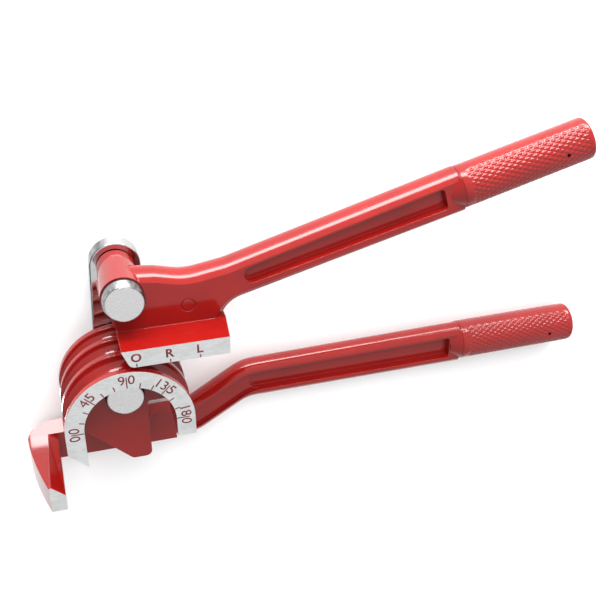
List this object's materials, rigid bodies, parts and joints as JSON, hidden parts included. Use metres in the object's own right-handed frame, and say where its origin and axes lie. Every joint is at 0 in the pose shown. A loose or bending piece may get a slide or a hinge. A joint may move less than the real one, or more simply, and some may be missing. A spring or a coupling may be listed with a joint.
{
  "type": "manual tube bender",
  "caption": "Hand tube bender: a grooved half-round former with a hook and fixed handle, a pivoting link, and a swinging handle with a grooved shoe.",
  "frame": {"origin": "middle of the tool's footprint, on the plane that it lies on", "axes": "+X along the lower handle away from the hook; +Y across the tool, towards the bending handle; +Z out of the scale face"},
  "size_m": [0.2432, 0.1324, 0.0483],
  "materials": {
    "red_paint": "gloss red paint over a casting, with three front faces milled bare",
    "red_grip": "gloss red paint over a diamond knurl",
    "chrome_plate": "bright chrome plate",
    "pin_steel": "bright rim and finely turned face",
    "washer_steel": "zinc plated",
    "black_washer": "blackened spring steel",
    "dark_pin": "oiled spring steel"
  },
  "bodies": {
    "former_body": {"former_casting": "red_paint", "lower_grip": "red_grip", "lower_grip_pin": "dark_pin"},
    "link": {"link_plate": "chrome_plate", "former_pivot_pin": "pin_steel", "former_head_washer": "black_washer", "former_thrust_washer": "washer_steel", "former_back_washer": "washer_steel", "former_retaining_ring": "black_washer", "handle_pivot_pin": "pin_steel", "handle_head_washer": "black_washer", "handle_thrust_washer": "washer_steel", "handle_back_washer": "washer_steel", "handle_retaining_ring": "black_washer"},
    "bending_handle": {"bending_handle_casting": "red_paint", "upper_grip": "red_grip", "upper_grip_pin": "dark_pin"}
  },
  "joints": [
    {"name": "link_swing", "type": "hinge", "parent": "former_body", "child": "link", "pos_m": [-0.08223, -0.02876, 0], "axis": [0, 0, 1], "range_deg": [-84, 102]},
    {"name": "handle_pivot", "type": "hinge", "parent": "link", "child": "bending_handle", "pos_m": [-0.07961, 0.01967, 0], "axis": [0, 0, 1], "range_deg": [-12, 120]}
  ]
}
